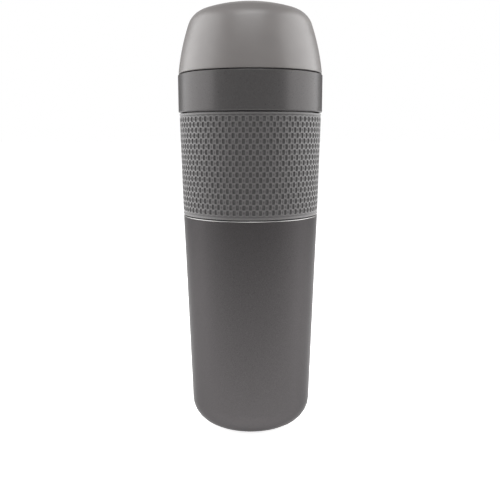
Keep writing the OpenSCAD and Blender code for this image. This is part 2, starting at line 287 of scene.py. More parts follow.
def add(owner, kind, **settings):
    """Adds a node to a material or the world. A setting goes to a socket of its name, or else to the node."""
    node = owner.node_tree.nodes.new(kind)
    for key, value in settings.items():
        if key in node.inputs:
            node.inputs[key].default_value = value
        else:
            setattr(node, key, value)
    return node


def link(owner, source, target):
    """Connects one node's output to another's input."""
    owner.node_tree.links.new(source, target)


def grain(material, scale, detail=3.0, stretch=(1.0, 1.0, 1.0), roughness=0.55):
    """Noise in the piece's own metres. scale is per metre."""
    place = add(material, "ShaderNodeTexCoord")
    mapping = add(material, "ShaderNodeMapping")
    mapping.inputs["Scale"].default_value = stretch
    noise = add(material, "ShaderNodeTexNoise", Scale=scale, Detail=detail, Roughness=roughness)
    link(material, place.outputs["Object"], mapping.inputs["Vector"])
    link(material, mapping.outputs["Vector"], noise.inputs["Vector"])
    return noise.outputs["Fac"]


def map_range(owner, source, from_min=0.0, from_max=1.0, to_min=0.0, to_max=1.0):
    """Carries a number from one range to another, and returns the node."""
    node = add(owner, "ShaderNodeMapRange")
    node.inputs["From Min"].default_value = from_min
    node.inputs["From Max"].default_value = from_max
    node.inputs["To Min"].default_value = to_min
    node.inputs["To Max"].default_value = to_max
    link(owner, source, node.inputs["Value"])
    return node


def spread(material, source, low, high, target, start=0.3, end=0.7):
    """Carries noise to a number between low and high."""
    ramp = map_range(material, source, start, end, low, high)
    link(material, ramp.outputs["Result"], target)


def tint(material, shader, source, dark, light, start=0.3, end=0.7):
    """Carries noise to a colour between dark and light."""
    ramp = add(material, "ShaderNodeValToRGB")
    ramp.color_ramp.elements[0].position = start
    ramp.color_ramp.elements[0].color = (*dark, 1)
    ramp.color_ramp.elements[1].position = end
    ramp.color_ramp.elements[1].color = (*light, 1)
    link(material, source, ramp.inputs["Fac"])
    link(material, ramp.outputs["Color"], shader.inputs["Base Color"])


def bump(material, shader, layers):
    """Stacks bump layers (noise, strength, distance in millimetres)."""
    normal = None
    for source, strength, distance in layers:
        node = add(material, "ShaderNodeBump", Strength=strength, Distance=distance * MM)
        link(material, source, node.inputs["Height"])
        if normal:
            link(material, normal, node.inputs["Normal"])
        normal = node.outputs["Normal"]
    link(material, normal, shader.inputs["Normal"])


def shade(colour, factor):
    """A darker or lighter version of a colour."""
    return tuple(c * factor for c in colour)


def soft_plastic(name, colour, roughness=0.5, grain_mm=0.02, specular=0.5):
    """Moulded plastic with a fine spark-eroded texture and faint mottling."""
    material, shader = new_material(name, Specular_IOR_Level=specular)
    tint(material, shader, grain(material, 90, 2), shade(colour, 0.965), shade(colour, 1.035))
    spread(material, grain(material, 700), roughness - 0.04, roughness + 0.04, shader.inputs["Roughness"])
    bump(material, shader, [(grain(material, 5200, 2), 0.35, grain_mm), (grain(material, 160, 1), 0.04, 0.1)])
    return material


def silicone(name, colour, roughness=0.58):
    """Rubbery silicone with a dusty, slightly uneven face."""
    material, shader = new_material(name, Specular_IOR_Level=0.45, Sheen_Weight=0.12, Sheen_Roughness=0.45)
    tint(material, shader, grain(material, 260, 4), shade(colour, 0.93), shade(colour, 1.07))
    spread(material, grain(material, 900), roughness - 0.06, roughness + 0.05, shader.inputs["Roughness"])
    bump(material, shader, [(grain(material, 3800, 3), 0.3, 0.02)])
    return material


def ribbed_silicone(name, pit_painted_shade, rib):
    """Silicone with painted light and shade: its colour runs from the rib colour to the darker pit colour by
    the painted-shade number on each point, so recesses are painted darker and ribs that face up lighter. It
    is also duller where it is painted darker.
    """
    material, shader = new_material(name, Specular_IOR_Level=0.5, Sheen_Weight=0.28, Sheen_Roughness=0.45)
    # painted shade: a number on each point of the grip that carries its colour towards the darker pit colour
    painted_shade = add(material, "ShaderNodeAttribute", attribute_name="painted_shade")
    mottle_and_painted_shade = add(material, "ShaderNodeMath", operation="MULTIPLY_ADD")
    link(material, grain(material, 700, 4), mottle_and_painted_shade.inputs[0])
    mottle_and_painted_shade.inputs[1].default_value = 0.3
    link(material, painted_shade.outputs["Fac"], mottle_and_painted_shade.inputs[2])
    tint(material, shader, mottle_and_painted_shade.outputs[0], rib, pit_painted_shade, 0.12, 1.0)
    spread(material, mottle_and_painted_shade.outputs[0], 0.46, 0.8, shader.inputs["Roughness"], 0.1, 1.0)
    bump(material, shader, [(grain(material, 3800, 3), 0.25, 0.02)])
    return material


def metallic_paint(name, colour, roughness, metallic=0.7, specular=0.5, edge=1.0):
    """Satin paint with metal flake. edge is how bright its reflections are where the surface turns away."""
    material, shader = new_material(
        name, Metallic=metallic, Specular_IOR_Level=specular, Specular_Tint=(edge, edge, edge, 1)
    )
    flake = grain(material, 4200, 1)
    tint(material, shader, flake, shade(colour, 0.82), shade(colour, 1.18))
    spread(material, grain(material, 1500, 2), roughness - 0.03, roughness + 0.04, shader.inputs["Roughness"])
    bump(material, shader, [(grain(material, 2600, 2), 0.12, 0.008), (grain(material, 300, 2), 0.08, 0.02)])
    return material


def turned_steel(name, colour=(0.62, 0.61, 0.59), roughness=0.24):
    """Bare stainless steel with fine lines running round the axis."""
    material, shader = new_material(name, Metallic=1.0)
    lines = grain(material, 60, 4, stretch=(1.0, 1.0, 110.0))
    tint(material, shader, lines, shade(colour, 0.9), shade(colour, 1.08))
    spread(material, lines, roughness - 0.05, roughness + 0.08, shader.inputs["Roughness"])
    bump(material, shader, [(lines, 0.12, 0.01)])
    return material


def clear_silicone(name):
    """Pale milky silicone of the seals."""
    material, shader = new_material(
        name, Subsurface_Weight=0.35, Subsurface_Radius=(0.002, 0.002, 0.0018), Subsurface_Scale=1.0
    )
    tint(material, shader, grain(material, 400, 2), (0.66, 0.64, 0.60), (0.73, 0.71, 0.67))
    spread(material, grain(material, 1200), 0.36, 0.46, shader.inputs["Roughness"])
    bump(material, shader, [(grain(material, 2500), 0.1, 0.01)])
    return material


def crinkled_foil(name):
    """Polished copper-coloured foil with creases."""
    material, shader = new_material(name, Metallic=1.0)
    tint(material, shader, grain(material, 300), (0.68, 0.38, 0.25), (0.78, 0.47, 0.32))
    spread(material, grain(material, 800), 0.18, 0.32, shader.inputs["Roughness"])
    bump(material, shader, [(grain(material, 350, 4), 0.5, 0.1)])
    return material


BODY_PAINT = metallic_paint(
    "body_paint", (0.0595, 0.0558, 0.0567), 0.35, metallic=0.85, specular=0.3, edge=0.48
)
BAND_METAL = metallic_paint("band_metal", (0.069, 0.066, 0.066), 0.3, metallic=0.28, specular=0.1, edge=0.7)
BARE_EDGE = turned_steel("bare_edge", (0.36, 0.355, 0.35), 0.4)
BARE_STEEL = turned_steel("bare_steel")
CAP_PLASTIC = soft_plastic("cap_plastic", (0.128, 0.120, 0.117), 0.38, specular=0.36)
CAP_INNER = soft_plastic("cap_inner_plastic", (0.120, 0.114, 0.110), 0.5)
LID_PLASTIC = soft_plastic("lid_plastic", (0.030, 0.030, 0.032), 0.42)
VALVE_PLASTIC = soft_plastic("valve_plastic", (0.045, 0.045, 0.048), 0.45)
BUTTON_PLASTIC = soft_plastic("button_plastic", (0.120, 0.112, 0.109), 0.45)
# the darker pit colour is painted shade in the net's recesses
GRIP_SILICONE = ribbed_silicone("grip_silicone", (0.0335, 0.0317, 0.032), (0.0735, 0.0692, 0.0692))
PAD_SILICONE = silicone("pad_silicone", (0.035, 0.035, 0.037))
SEAL_SILICONE = clear_silicone("seal_silicone")
# near-black finish on the ledge in the gap behind the grip: painted shade, where the real ledge carries the
# body's paint
GAP_PAINTED_SHADE = silicone("gap_painted_shade", (0.012, 0.012, 0.012), 0.7)
SEAL_METAL = metallic_paint("seal_bead", (0.20, 0.20, 0.21), 0.5)
FOIL = crinkled_foil("copper_foil")


# ---- flask ----

CORNER_R = 12.8  # round edge of the base
FOOT_SIDE_R = 31.4  # radius that the side would have at the floor
SIDE_R = 35.12  # radius of the side at the ledge
LEAN = (SIDE_R - FOOT_SIDE_R) / LEDGE_Z  # radius that the side gains per millimetre of height
SHELL_T = 0.6  # thickness of the outer wall
LINER_T = 0.5  # thickness of the inner wall
NECK_Z = 163.0  # height where the outer wall starts to turn in to the neck
GRIP_T = 1.5  # thickness of the grip
MOUTH_R = 30.0  # inner radius of the mouth


def grip_r(z):
    """Outer radius of the grip at a height."""
    return SIDE_R + (GRIP_R - SIDE_R) * (z - LEDGE_Z) / (GRIP_Z1 - LEDGE_Z)


def outer_shell():
    """The painted wall, with a bare steel edge round the ledge and near-black painted shade on the ledge
    beside the edge, in the gap behind the grip.
    """
    sheet_end_r = 13.5  # where the wall ends, over the base plate
    recess_r, recess_foot_r = 16.4, 17.4  # recess for the pad, at its ceiling and at the foot
    neck_bend = 1.7  # height of the bend from the wall to the neck
    edge_w = 0.42  # width of the bare edge
    path = rounded(
        [
            (sheet_end_r, RECESS_Z),
            (recess_r, RECESS_Z, 0.7),
            (recess_foot_r, FOOT_Z, 0.4),
            (FOOT_SIDE_R + LEAN * FOOT_Z, FOOT_Z, CORNER_R),
            (SIDE_R, LEDGE_Z, 0.4),
            (SIDE_R - GRIP_T, LEDGE_Z, 0.25),
            (grip_r(NECK_Z) - GRIP_T, NECK_Z, 0.6),
            (NECK_R, NECK_Z + neck_bend, 0.5),
            (NECK_R, MOUTH_Z - LINER_T),
        ],
        closed=False,
        share=0.95,
    )
    outline = sheet(path, SHELL_T)
    piece = lathe("flask_outer_shell", outline, BODY_PAINT, "flask", "outer_shell", around=AROUND_LARGE)
    piece.data.materials.append(BARE_EDGE)
    piece.data.materials.append(GAP_PAINTED_SHADE)
    for polygon in piece.data.polygons:
        centre = polygon.center / MM
        r = math.hypot(centre.x, centre.y)
        on_ledge = abs(centre.z - LEDGE_Z) < 0.5 and r > SIDE_R - GRIP_T - 0.1
        if on_ledge and polygon.normal.z > 0.2:
            # the ledge's face inward of the bare edge gets the near-black painted shade
            polygon.material_index = 1 if r > SIDE_R - edge_w else 2


def inner_liner():
    """The bare inner wall, with a rolled bead under the gasket and a rolled thread."""
    floor_z = LINER_Z0 + LINER_T
    floor_round = 10
    taper, taper_z = 1.4, 148  # what the radius gains from the floor up, and the height where that ends
    bead_z, bead, bead_half_h = 155.5, 1.9, 2.1
    mouth_round = 1.6
    thread_z = 162
    path = rounded(
        [
            (0, floor_z),
            (MOUTH_R - taper, floor_z, floor_round),
            (MOUTH_R, taper_z),
            (MOUTH_R, bead_z - bead_half_h, 0.8),
            (MOUTH_R - bead, bead_z, 0.9),
            (MOUTH_R, bead_z + bead_half_h, 0.8),
            (MOUTH_R, MOUTH_Z, mouth_round),
            (NECK_R, MOUTH_Z),
        ],
        closed=False,
    )
    outline = dense(sheet(path, -LINER_T), MOUTH_R, thread_z - 4, count=47)
    warp = thread_warp(MOUTH_R, -1.1, thread_z)
    lathe("flask_inner_liner", outline, BARE_STEEL, "flask", "inner_liner", warp=warp)


def base_pad():
    """The silicone pad, with grooves under it against sliding and a hollow that clears the vacuum seal."""
    face_r = 9  # inner radius of the ring that stands on the floor
    arch_z = 0.6  # height of the underside within that ring
    hollow_r, hollow_z = 3, 1.4
    groove_count, groove_r, groove_pitch = 4, 10.2, 1.35
    groove_w, groove_depth = 0.45, 0.35
    grooves = []
    for k in range(groove_count):
        near = groove_r + groove_pitch * k
        far = near + groove_w
        roof_z = PAD_Z0 + groove_depth
        grooves.extend([(near, PAD_Z0, 0.15), (near, roof_z, 0.1), (far, roof_z, 0.1), (far, PAD_Z0, 0.15)])
    under = [(0, arch_z), (face_r - 0.7, arch_z, 0.3), (face_r, PAD_Z0, 0.3)]
    top = [(PAD_R, RECESS_Z), (hollow_r, RECESS_Z), (hollow_r, hollow_z), (0, hollow_z)]
    outline = rounded(under + grooves + [(PAD_R, PAD_Z0, 0.6)] + top, hold=0.1)
    lathe("flask_base_pad", outline, PAD_SILICONE, "flask", "base_pad")


# ---- grip ----

COLUMNS, ROWS = 70, 18
SLOTS = 4 * COLUMNS  # places for points round the grip
NET_Z0, NET_Z1 = GRIP_Z0 + 3.5, GRIP_Z1 - 3.2  # middles of the lowest and the highest row
ROW_H = (NET_Z1 - NET_Z0) / (ROWS - 1)
RIB = 0.46  # height of the ribs over the pits' floor
DIMPLE, MARGIN = 0.45, 0.62  # heights of the dimples and of the smooth margins, as shares of RIB
PIT_W, PIT_H = 0.77, 1.2  # half the width and half the height of a pit's floor
PIT_SQUARENESS = 14  # exponent of the pit's outline, an ellipse at 2 and a rectangle when it is high
# a pit's flank: share of the way from the ribs to the floor, and height (None: as high as the ribs there)
FLANK = ((0.34, None), (0.66, 1.0), (0.87, 0.96), (1.0, 0.0))
# painted light and shade on the ribs: lightest on the rib just under each pit, where it faces up, as a
# painted highlight, and darkest in the dimples beside the pits, as painted shade
RIB_PAINTED_SHADE = (0.85, 0.7, 0.0, 0.05, 0.22, 0.6)  # at each sixth of a row's height
# the ribs round a pit, as slots and sixths of a row's height from its middle
RIGHT_HALF = ((0, -4), (1, -3), (2, -2), (2, -1), (2, 0), (2, 1), (2, 2), (1, 3))
CELL = RIGHT_HALF + tuple((-x, -k) for x, k in RIGHT_HALF)


class Net:
    """The points and faces of the grip, and how dark each point's colour is painted, as painted light and
    shade.

    A height is a share of RIB over the pits' floor. A place on the net is a slot round the grip, and k
    sixths of a row's height over the middle of the lowest row.
    """

    def __init__(self):
        self.points = []
        self.painted_shades = []
        self.faces = []
        self.corners = {}

    def put(self, slot, z, height, painted_shade=0.1):
        """Adds a point. The last number sets how dark its colour is painted as painted shade, from 0 to 1."""
        a = 2 * math.pi * slot / SLOTS
        r = grip_r(z) - RIB * (1 - height)
        self.points.append((r * math.cos(a), r * math.sin(a), z))
        self.painted_shades.append(painted_shade)
        return len(self.points) - 1

    def corner(self, slot, k):
        """A point on the ribs, which neighbouring pits share."""
        key = (slot % SLOTS, k)
        if key not in self.corners:
            self.corners[key] = self.put(key[0], NET_Z0 + k * ROW_H / 6, rib_height(k), RIB_PAINTED_SHADE[k % 6])
        return self.corners[key]

    def join_rings(self, one, two):
        """Faces between two rings of as many points."""
        count = len(one)
        for k in range(count):
            n = (k + 1) % count
            self.faces.append((one[k], one[n], two[n], two[k]))


def rib_height(k):
    """Height of the ribs: they dip to a dimple beside each pit, and to the margins past the net's ends."""
    if not -2 <= k <= 6 * (ROWS - 1) + 2:
        return MARGIN
    return DIMPLE if (k + 1) % 6 < 3 else 1.0


def pit_reach(a):
    """How far the pit's floor reaches from its middle, at an angle."""
    across = abs(math.cos(a) / PIT_W) ** PIT_SQUARENESS
    up = abs(math.sin(a) / PIT_H) ** PIT_SQUARENESS
    return (across + up) ** (-1 / PIT_SQUARENESS)


def add_pit(net, row, column):
    """One pit, from the ribs round it down its flank to its floor."""
    slot, sixth = 4 * column + 2 * (row % 2), 6 * row
    z = NET_Z0 + row * ROW_H
    slot_w = 2 * math.pi * grip_r(z) / SLOTS
    ring = [net.corner(slot + x, sixth + k) for x, k in CELL]
    for share, height in FLANK:
        inner = []
        for x, k in CELL:
            across, up = x * slot_w, k * ROW_H / 6
            a = math.atan2(up, across)
            reach = pit_reach(a)
            across += (reach * math.cos(a) - across) * share
            up += (reach * math.sin(a) - up) * share
            level = rib_height(sixth + k)
            if height is not None:
                level = height * (MARGIN if level == MARGIN else 1)
            # painted shade in the pit: its floor is painted dark, darkest at its top and bottom ends, and the
            # flank's painted shade fades from that of the ribs
            if share == 1:
                dark = 0.95 if abs(k) > 2 else 0.8
            else:
                dark = RIB_PAINTED_SHADE[k % 6] * (1 - share) ** 2 + 0.12 * share**4
            inner.append(net.put(slot + across / slot_w, z + up, level, dark))
        net.join_rings(ring, inner)
        ring = inner
    # the pit's middle point is painted a little less dark than the rest of its floor
    middle = net.put(slot, z, -0.06, 0.62)
    for m, point in enumerate(ring):
        net.faces.append((point, ring[(m + 1) % len(ring)], middle))


def add_end(net, row, way, end_z, flare, dark):
    """The smooth margin and the lip past the net's last row, upwards (way 1) or downwards (way -1).

    flare is how far the lip stands out over the ribs, in millimetres, and dark how dark the margin's colour
    is painted, as painted shade.
    Returns the ring of points at the lip's inner edge.
    """
    zigzag = {}  # the net's edge: sixths of a row's height at each slot
    for column in range(COLUMNS):
        slot = 4 * column + 2 * (row % 2)
        for x, k in ((0, 4), (1, 3), (2, 2), (-1, 3)):
            zigzag[(slot + x) % SLOTS] = 6 * row + way * k
    ring = [net.corner(slot, zigzag[slot]) for slot in range(SLOTS)]
    margin_z = NET_Z0 + (row + way * 4 / 6) * ROW_H + way * 0.25
    for share, fall in ((0.3, 0.3), (0.65, 0.85), (1.0, 1.0)):
        level = []
        for slot in range(SLOTS):
            z = NET_Z0 + zigzag[slot] * ROW_H / 6
            height = rib_height(zigzag[slot]) * (1 - fall) + MARGIN * fall
            level.append(net.put(slot, z + (margin_z - z) * share, height, dark * fall))
        net.join_rings(ring, level)
        ring = level
    top = 1 + flare / RIB
    inner_face = 1 - GRIP_T / RIB
    lip = (  # distance from the grip's end, and height
        (0.9, MARGIN),
        (0.82, MARGIN + 0.08),
        (0.74, 0.85 * top),
        (0.66, 0.94 * top),
        (0.5, top),
        (0.32, 0.96 * top),
        (0.12, 0.7 * top),
        (0.0, 0.15),
        (0.0, inner_face + 0.2),
        (0.1, inner_face),
    )
    for inset, height in lip:
        level = [net.put(slot, end_z - way * inset, height) for slot in range(SLOTS)]
        net.join_rings(ring, level)
        ring = level
    return ring


def grip_sleeve():
    """The silicone sleeve, with its net of raised ribs between two smooth margins and lips."""
    net = Net()
    for row in range(ROWS):
        for column in range(COLUMNS):
            add_pit(net, row, column)
    # the top margin is painted darker than the bottom one, a painted shadow under the lid's band
    top = add_end(net, ROWS - 1, 1, GRIP_Z1, flare=0.06, dark=0.9)
    bottom = add_end(net, 0, -1, GRIP_Z0, flare=0.04, dark=0.65)
    net.join_rings(top, bottom)
    piece = mesh_piece("grip_sleeve_honeycomb", net.points, net.faces, GRIP_SILICONE, net.painted_shades)
    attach(piece, "flask")
    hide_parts("grip_sleeve")


# ---- lid ----

PLUG_R = 28.4  # outer radius of the plug
PLUG_IN_R = 26.2  # inner radius of the plug over the ledge that carries the valve guide
PLUG_FOOT_R = 27.4  # outer radius of the plug below its gasket
PASSAGE_R = 25.0  # inner radius of the passage through the lid
SEAT_R = 20.0  # radius of the opening that the valve closes
SEAT_T = 2.2  # thickness of the seat round that opening
RIM_R = 29.4  # outer radius of the drinking rim
RIM_T = 1.8  # thickness of the drinking rim
GASKET_R = 26.5  # radius of the floor of the gasket's groove
GASKET_Z0, GASKET_Z1 = 157.0, 160.6  # lower and upper side of that groove
BAND_T = 0.6  # thickness of the metal band
GUIDE_Z0 = 171.6  # height of the ledge that carries the valve guide
HUB_R = 10.0  # outer radius of the guide's hub
STEM_R = 3.0  # radius of the stem
SPRING_Z0, SPRING_Z1 = 174.0, 191.0  # what the spring stands on, and the button's underside
BUTTON_SEAL_Z = 182.9  # height of the ring seal between hub and button


def lid_gasket():
    """The gasket in its groove round the plug, with two lips."""
    inner_r = GASKET_R + SEAL_GAP
    z0, z1 = GASKET_Z0 + SEAL_GAP, GASKET_Z1 - SEAL_GAP
    lip_r = PLUG_R + 0.35
    outline = rounded(
        [
            (inner_r, z0, 0.2),
            (PLUG_R - 0.7, z0, 0.2),
            (lip_r, GASKET_Z0 + 1.2, 0.2),
            (PLUG_R - 0.4, GASKET_Z0 + 1.75, 0.15),
            (lip_r, GASKET_Z0 + 2.4, 0.2),
            (PLUG_R - 0.3, z1, 0.2),
            (inner_r, z1, 0.2),
        ],
        hold=0.08,
    )
    lathe("lid_gasket_ring", outline, SEAL_SILICONE, "lid_lifter", "lid_gasket")


def lid_body():
    """The deck, with the drinking rim over it and a short tube under it that holds the guide down."""
    funnel_z = 186.5  # height where the funnel round the passage meets the rim
    thread_z = 187.4
    tube_r = PLUG_IN_R - 0.1
    outline = rounded(
        [
            (SKIRT_IN_R, DECK_Z0),
            (SKIRT_IN_R, DECK_Z1, 0.12),
            (RIM_R, DECK_Z1, 0.9),
            (RIM_R, RIM_Z, 0.88),
            (RIM_R - RIM_T, RIM_Z, 0.88),
            (RIM_R - RIM_T, funnel_z, 2.5),
            (PASSAGE_R, DECK_Z0, 1.5),
            (PASSAGE_R, GUIDE_Z1, 0.2),
            (tube_r, GUIDE_Z1, 0.2),
            (tube_r, DECK_Z0),
        ]
    )
    warp = thread_warp(RIM_R, 1.3, thread_z)
    outline = dense(outline, RIM_R, thread_z - 2.2, count=37)
    lathe("lid_deck_and_rim", outline, LID_PLASTIC, "lid", "lid_body", warp=warp)


def lid_skirt():
    """The ring that hangs from the deck and carries the metal band."""
    outline = rounded(
        [
            (SKIRT_IN_R, SKIRT_Z0, 0.3),
            (SKIRT_R, SKIRT_Z0, 0.6),
            (SKIRT_R, DECK_Z1, 0.6),
            (SKIRT_IN_R, DECK_Z1, 0.12),
        ]
    )
    lathe("lid_skirt_ring", outline, LID_PLASTIC, "lid", "lid_skirt")


def lid_plug():
    """The threaded plug, with the gasket's groove round its foot and the valve's seat inside."""
    thread_z = 165
    outline = rounded(
        [
            (SEAT_R, SEAT_Z, 0.3),
            (PLUG_FOOT_R, SEAT_Z, 0.4),
            (PLUG_FOOT_R, GASKET_Z0, 0.2),
            (GASKET_R, GASKET_Z0, 0.2),
            (GASKET_R, GASKET_Z1, 0.2),
            (PLUG_R, GASKET_Z1, 0.4),
            (PLUG_R, DECK_Z0),
            (PLUG_IN_R, DECK_Z0),
            (PLUG_IN_R, GUIDE_Z0),
            (PASSAGE_R, GUIDE_Z0, 0.2),
            (PASSAGE_R, SEAT_Z + SEAT_T, 0.8),
            (SEAT_R, SEAT_Z + SEAT_T, 0.3),
        ]
    )
    warp = thread_warp(PLUG_R, 1.1, thread_z)
    outline = dense(outline, PLUG_R, thread_z - 3, count=41)
    lathe("lid_threaded_plug", outline, LID_PLASTIC, "lid", "lid_plug", warp=warp)


def lid_band():
    """The steel band: a thin sheet hemmed in over the skirt at both edges."""
    hem_r = BAND_R - 2
    path = rounded(
        [(hem_r, BAND_Z0), (BAND_R, BAND_Z0, 0.5), (BAND_R, BAND_Z1, 0.5), (hem_r, BAND_Z1)], closed=False
    )
    piece = lathe("lid_metal_band", sheet(path, BAND_T), BAND_METAL, "lid", "lid_band", around=AROUND_LARGE)


def join(pieces, name):
    """Makes one piece of several meshes."""
    merged = bmesh.new()
    for piece in pieces:
        merged.from_mesh(piece.data)
    first = pieces[0]
    merged.to_mesh(first.data)
    merged.free()
    for piece in pieces[1:]:
        bpy.data.objects.remove(piece)
    first.name = name
    return first


def guide_hub():
    """The hub: a bore for the stem, a pocket for the spring and a groove for the button's seal."""
    bore_r, pocket_r = STEM_R + 0.08, 7.4
    groove_r, groove_half_h = HUB_R - 0.8, 0.9
    outline = rounded(
        [
            (bore_r, HUB_Z0, 0.3),
            (HUB_R, HUB_Z0, 0.8),
            (HUB_R, BUTTON_SEAL_Z - groove_half_h, 0.1),
            (groove_r, BUTTON_SEAL_Z - groove_half_h, 0.1),
            (groove_r, BUTTON_SEAL_Z + groove_half_h, 0.1),
            (HUB_R, BUTTON_SEAL_Z + groove_half_h, 0.1),
            (HUB_R, HUB_Z1, 0.5),
            (pocket_r, HUB_Z1, 0.4),
            (pocket_r, SPRING_Z0, 0.3),
            (bore_r, SPRING_Z0, 0.3),
        ],
        hold=0.12,
    )
    return turned("guide_hub", outline, VALVE_PLASTIC, around=96)


def guide_arm(angle):
    """A bar with rounded edges that runs out from the hub to the ring, at an angle in radians."""
    near, far = HUB_R - 0.8, PASSAGE_R - 0.1
    width, top_z = 2.4, GUIDE_Z0 + 4.6
    section = rounded([(0, GUIDE_Z0, 0.5), (width, GUIDE_Z0, 0.5), (width, top_z, 0.5), (0, top_z, 0.5)])
    points = []
    for along in (near, far):
        for across, z in section:
            place = spun(along, across - width / 2, angle)
            points.append((place.x, place.y, z))
    count = len(section)
    faces = []
    for k in range(count):
        n = (k + 1) % count
        faces.append((k, n, count + n, count + k))
    faces.extend((tuple(range(count)), tuple(range(count, 2 * count))))
    return mesh_piece("guide_arm", points, faces, VALVE_PLASTIC)


def valve_guide():
    """The hub that guides the stem, on four arms inside a ring."""
    ring_in_r = 24.2
    ring = rounded(
        [(ring_in_r, GUIDE_Z0, 0.5), (GUIDE_R, GUIDE_Z0), (GUIDE_R, GUIDE_Z1), (ring_in_r, GUIDE_Z1, 0.5)]
    )
    pieces = [guide_hub(), turned("guide_ring", ring, VALVE_PLASTIC)]
    for quarter in range(4):
        pieces.append(guide_arm(math.radians(90 * quarter)))
    guide = join(pieces, "lid_valve_guide")
    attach(guide, "lid")
    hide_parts("valve_guide")


def button_spring():
    """Compression spring with closed, flattened ends."""
    coil_r, wire_r, turns = 6.25, 0.5, 6.5
    per_turn, sides = 36, 12
    count = int(turns * per_turn)
    z0, z1 = SPRING_Z0 + wire_r, SPRING_Z1 - wire_r
    flat_rise = 2 * wire_r + 0.02  # what the first turn rises, and the last
    points, faces = [], []
    for i in range(count + 1):
        turn = i / per_turn
        if turn < 1:
            z = z0 + flat_rise * turn
        elif turn > turns - 1:
            z = z1 - flat_rise * (turns - turn)
        else:
            z = z0 + flat_rise + (z1 - z0 - 2 * flat_rise) * (turn - 1) / (turns - 2)
        a = 2 * math.pi * turn
        for j in range(sides):
            b = 2 * math.pi * j / sides
            r = coil_r + wire_r * math.cos(b)
            points.append((r * math.cos(a), r * math.sin(a), z + wire_r * math.sin(b)))
    for i in range(count):
        for j in range(sides):
            n = (j + 1) % sides
            faces.append((sides * i + j, sides * i + n, sides * (i + 1) + n, sides * (i + 1) + j))
    faces.extend((tuple(range(sides)), tuple(range(sides * count, sides * count + sides))))
    spring = mesh_piece("lid_button_spring", points, faces, BARE_STEEL)
    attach(spring, "lid")
    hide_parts("button_spring")
    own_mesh(spring)


def button_seal():
    """The ring seal between the hub and the button's skirt."""
    outline = arc((HUB_R - 0.1, BUTTON_SEAL_Z), 0.6, 0, 345, 23)
    lathe("lid_button_seal", outline, SEAL_SILICONE, "lid", "button_seal")


# ---- valve ----

GROOVE_IN_R, GROOVE_OUT_R = 20.5, 23.7  # the groove for the seal in the closing disc
GROOVE_Z = 153.0  # height of the groove's floor


def push_button():
    """A round button with a dished top, a boss on the stem and a skirt that runs over the hub."""
    top_z, boss_z, boss_r = 195.6, 185, 5.0
    skirt_in_r, skirt_t = HUB_R + 0.6, 2
    dish_r, dish_depth, dish_rings = 10.5, 1.35, 7
    dish = []
    for k in range(dish_rings, -1, -1):
        share = k / dish_rings
        dish.append((dish_r * share, top_z - dish_depth * (1 - smoothstep(share))))
    outline = rounded(
        [
            (STEM_R, boss_z, 0.2),
            (boss_r, boss_z, 0.3),
            (boss_r, SPRING_Z1, 0.4),
            (skirt_in_r, SPRING_Z1, 0.4),
            (skirt_in_r, BUTTON_Z0, 0.3),
            (skirt_in_r + skirt_t, BUTTON_Z0, 0.3),
            (skirt_in_r + skirt_t, SPRING_Z1, 0.4),
            (BUTTON_R, SPRING_Z1, 0.5),
            (BUTTON_R, top_z, 1.6),
        ]
        + dish
        + [(0, STEM_Z1), (STEM_R, STEM_Z1)]
    )
    piece = lathe("valve_push_button", outline, BUTTON_PLASTIC, "valve", "push_button", around=128)


def valve_stem():
    """The steel stem, with a collar over the closing disc."""
    collar_z1 = PLATE_Z1 + 1.4
    outline = rounded(
        [
            (0, STEM_Z0),
            (STEM_R, STEM_Z0, 0.5),
            (STEM_R, PLATE_Z1, 0.1),
            (COLLAR_R, PLATE_Z1, 0.2),
            (COLLAR_R, collar_z1, 0.3),
            (STEM_R, collar_z1, 0.2),
            (STEM_R, STEM_Z1, 0.2),
            (0, STEM_Z1),
        ],
        hold=0.1,
    )
    lathe("valve_steel_stem", outline, BARE_STEEL, "valve", "valve_stem", around=64)


def valve_plate():
    """The closing disc, with a groove for its seal and a shallow recess under it between hub and rim."""
    hub_r, recess_r, recess_end_r = 7.5, 8.2, 21.5
    recess_z = PLATE_Z0 + 0.6
    outline = rounded(
        [
            (STEM_R, PLATE_Z0),
            (hub_r, PLATE_Z0, 0.3),
            (recess_r, recess_z, 0.3),
            (recess_end_r, recess_z, 0.3),
            (PLATE_R - 2, PLATE_Z0, 0.3),
            (PLATE_R, PLATE_Z0, 0.8),
            (PLATE_R, PLATE_Z1, 0.2),
            (GROOVE_OUT_R, PLATE_Z1, 0.1),
            (GROOVE_OUT_R, GROOVE_Z),
            (GROOVE_IN_R, GROOVE_Z),
            (GROOVE_IN_R, PLATE_Z1, 0.2),
            (STEM_R, PLATE_Z1),
        ],
        hold=0.1,
    )
    lathe("valve_closing_plate", outline, VALVE_PLASTIC, "valve", "valve_plate")


def valve_seal():
    """The disc's seal, which fills the groove and narrows to a lip under the seat."""
    shoulder_z, lip_z = PLATE_Z1 + 0.6, SEAT_Z - SEAL_GAP
    outline = rounded(
        [
            (GROOVE_IN_R, GROOVE_Z),
            (GROOVE_OUT_R, GROOVE_Z),
            (GROOVE_OUT_R, shoulder_z, 0.3),
            (GROOVE_OUT_R - 1.2, lip_z, 0.35),
            (GROOVE_IN_R + 1.2, lip_z, 0.35),
            (GROOVE_IN_R, shoulder_z, 0.3),
        ],
        hold=0.1,
    )
    lathe("valve_plate_seal", outline, SEAL_SILICONE, "valve", "valve_seal")


# ---- cap ----

CAP_T = 1.6  # thickness of the dome's wall
CAP_LEAN_FOOT, CAP_LEAN_SHOULDER, CAP_LEAN_CROWN = 5.9, 19.1, 71.6  # leans where the curves start, in degrees
CAP_SIDE_ARC = 107.0  # radius of the side's gentle curve
CAP_SHOULDER_ARC = 11.0  # radius of the shoulder
THREAD_R = 31.3  # inner radius of the threaded sleeve
DISC_Z0 = DISC_Z1 - 1.3  # underside of the disc that closes the inner cap
SEAL_IN_R, SEAL_OUT_R = 26.3, 30.3  # the groove for the seal in that disc


